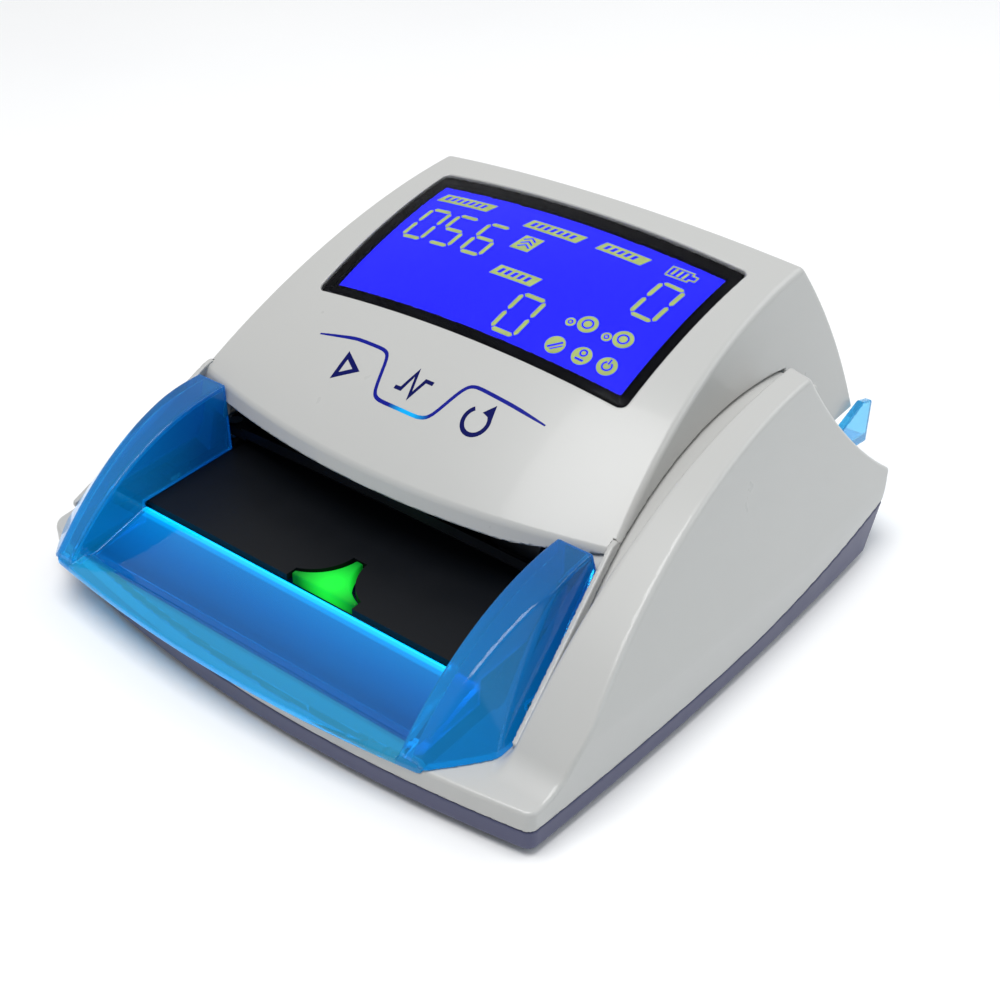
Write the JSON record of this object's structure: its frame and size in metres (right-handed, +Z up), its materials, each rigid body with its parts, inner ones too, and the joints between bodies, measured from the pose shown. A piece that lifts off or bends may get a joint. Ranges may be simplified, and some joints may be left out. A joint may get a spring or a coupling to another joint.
{
  "type": "counterfeit bill detector",
  "caption": "Counter-top bill detector with a hinged domed hood and display, winged body, translucent feed trays and a gear and belt driven roller path.",
  "frame": {"origin": "centre of the overall box, on the plane that the rubber feet stand on", "axes": "+Y is the way the notes travel, from the inlet tray to the exit tray; +X is the operator's right, where the wing is; +Z up"},
  "size_m": [0.1375, 0.1476, 0.0591],
  "materials": {
    "white_shell": "glossy moulded white",
    "slate_base": "satin dark slate blue",
    "foot_rubber": "matt black rubber",
    "tray_blue": "tinted translucent blue, polished",
    "exit_blue": "tinted translucent blue, polished",
    "black_guide": "satin black",
    "inlet_glow": "clear green diffuser, lit from below",
    "dark_window": "dark tinted glass",
    "screw_steel": "zinc plated",
    "battery_wrap": "blue shrink wrap",
    "circuit_green": "green solder mask",
    "buzzer_black": "moulded black",
    "frame_steel": "zinc plated sheet",
    "bush_brass": "sintered bronze",
    "motor_can": "drawn steel can",
    "shaft_steel": "ground steel",
    "belt_rubber": "moulded rubber belt",
    "socket_black": "moulded black",
    "port_metal": "plated shell",
    "ribbon_grey": "grey flat cable",
    "roller_rubber": "ground rubber",
    "gear_plastic": "natural acetal",
    "pinion_brass": "cut brass",
    "slider_plastic": "moulded grey",
    "bezel_black": "gloss black print behind the lens",
    "display_glass": "clear hard-coated acrylic",
    "lcd_blue": "blue backlit liquid crystal panel",
    "key_copper": "copper foil",
    "key_ink": "dark blue inlay",
    "key_glow": "blue light guide, lit",
    "head_metal": "polished shield",
    "sensor_black": "moulded black",
    "uv_housing": "dark violet diffuser",
    "magnet_grey": "nickel plated",
    "idler_plastic": "dark acetal"
  },
  "bodies": {
    "base": {"body_shell": "white_shell", "base_pan": "slate_base", "battery_cover": "slate_base", "rubber_feet": "foot_rubber", "inlet_tray": "tray_blue", "exit_tray": "exit_blue", "note_deck": "black_guide", "inlet_light": "inlet_glow", "lower_sensor_window": "dark_window", "base_screws": "screw_steel", "battery_cover_screw": "screw_steel", "battery_pack": "battery_wrap", "lower_sensor_board": "circuit_green", "main_board": "circuit_green", "buzzer": "buzzer_black", "side_frame_left": "frame_steel", "side_frame_right": "frame_steel", "motor_bracket": "frame_steel", "hinge_brackets": "frame_steel", "shaft_bushes": "bush_brass", "drive_motor": "motor_can", "reduction_stud": "shaft_steel", "hinge_pins": "shaft_steel", "strike_plates": "shaft_steel", "drive_belt": "belt_rubber", "power_inlet": "socket_black", "switch_body": "socket_black", "data_port": "port_metal", "base_ribbon": "ribbon_grey"},
    "hood": {"hood_shell": "white_shell", "display_bezel": "bezel_black", "display_lens": "display_glass", "lcd_panel": "lcd_blue", "display_board": "circuit_green", "touch_keys": "key_copper", "key_symbols": "key_ink", "key_light_line": "key_glow", "upper_guide": "black_guide", "guide_screws": "screw_steel", "magnetic_head": "head_metal", "image_sensor_bar": "sensor_black", "uv_light_bar": "uv_housing", "catch_magnets": "magnet_grey", "pinch_springs": "shaft_steel", "hood_ribbon": "ribbon_grey"},
    "rear_drive": {"rear_shaft": "shaft_steel", "rear_rollers": "roller_rubber", "rear_pulley": "gear_plastic", "drive_gear": "gear_plastic"},
    "front_drive": {"front_shaft": "shaft_steel", "front_rollers": "roller_rubber", "front_pulley": "gear_plastic"},
    "reduction": {"reduction_gear": "gear_plastic"},
    "motor_rotor": {"motor_pinion": "pinion_brass"},
    "slider": {"power_slider": "slider_plastic"},
    "front_idler_body": {"front_idler": "idler_plastic"},
    "rear_idler_body": {"rear_idler": "idler_plastic"}
  },
  "joints": [
    {"name": "hood_hinge", "type": "hinge", "parent": "base", "child": "hood", "pos_m": [-0.00675, 0.0638, 0.0215], "axis": [-1, 0, 0], "range_deg": [0, 60]},
    {"name": "rear_drive_spin", "type": "hinge", "parent": "base", "child": "rear_drive", "pos_m": [-0.00675, 0.0378, 0.0108], "axis": [1, 0, 0], "continuous": true},
    {"name": "front_drive_spin", "type": "hinge", "parent": "base", "child": "front_drive", "pos_m": [-0.00675, -0.0142, 0.0108], "axis": [1, 0, 0], "continuous": true},
    {"name": "reduction_spin", "type": "hinge", "parent": "base", "child": "reduction", "pos_m": [0.04725, 0.03118, 0.01543], "axis": [1, 0, 0], "continuous": true},
    {"name": "motor_spin", "type": "hinge", "parent": "base", "child": "motor_rotor", "pos_m": [0.04925, 0.01964, 0.01644], "axis": [1, 0, 0], "continuous": true},
    {"name": "front_idler_spin", "type": "hinge", "parent": "hood", "child": "front_idler_body", "pos_m": [-0.00675, -0.0142, 0.0197], "axis": [1, 0, 0], "continuous": true},
    {"name": "rear_idler_spin", "type": "hinge", "parent": "hood", "child": "rear_idler_body", "pos_m": [-0.00675, 0.0378, 0.0197], "axis": [1, 0, 0], "continuous": true},
    {"name": "power_slide", "type": "slide", "parent": "base", "child": "slider", "axis": [0, 1, 0], "range_m": [0, 0.003]}
  ],
  "couplings": [
    {"joint": "front_drive_spin", "follows": "rear_drive_spin", "ratio": 1},
    {"joint": "reduction_spin", "follows": "rear_drive_spin", "ratio": -1.6667},
    {"joint": "motor_spin", "follows": "rear_drive_spin", "ratio": 6},
    {"joint": "front_idler_spin", "follows": "rear_drive_spin", "ratio": -1.15},
    {"joint": "rear_idler_spin", "follows": "rear_drive_spin", "ratio": -1.15}
  ]
}
